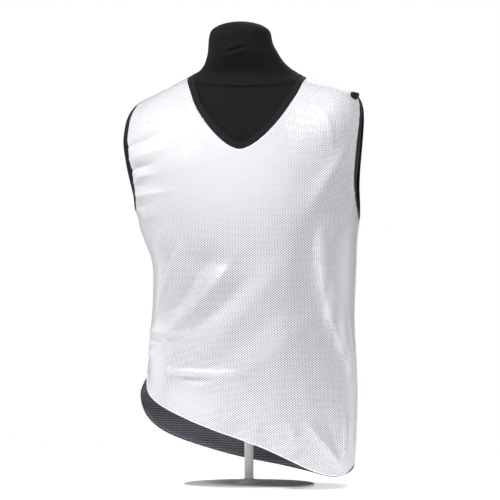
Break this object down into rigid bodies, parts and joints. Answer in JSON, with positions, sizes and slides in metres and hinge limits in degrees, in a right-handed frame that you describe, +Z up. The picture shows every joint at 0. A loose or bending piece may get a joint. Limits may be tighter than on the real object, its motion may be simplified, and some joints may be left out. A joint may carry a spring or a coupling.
{
  "type": "mesh training bib on dress form",
  "caption": "Sleeveless reversible mesh training bib, white over black, with a V neck and flat black bands, worn on a limbless black dress form on a slim pole and round plate.",
  "frame": {"origin": "middle of the round plate's underside, on the floor", "axes": "+Z up along the pole, -Y out of the bib's front, +X towards the wearer's left"},
  "size_m": [0.4322, 0.2698, 0.812],
  "materials": {
    "white_mesh": "satin knit mesh",
    "black_mesh": "matte knit mesh",
    "black_binding": "flat rib binding",
    "black_jersey": "matte jersey",
    "painted_steel": "satin white paint"
  },
  "bodies": {
    "root": {"front_outer": "white_mesh", "back_outer": "white_mesh", "front_inner": "black_mesh", "back_inner": "black_mesh", "neck_band": "black_binding", "armhole_band_right": "black_binding", "armhole_band_left": "black_binding", "dress_form": "black_jersey", "stand_pole": "painted_steel", "stand_base": "painted_steel"}
  },
  "joints": []
}
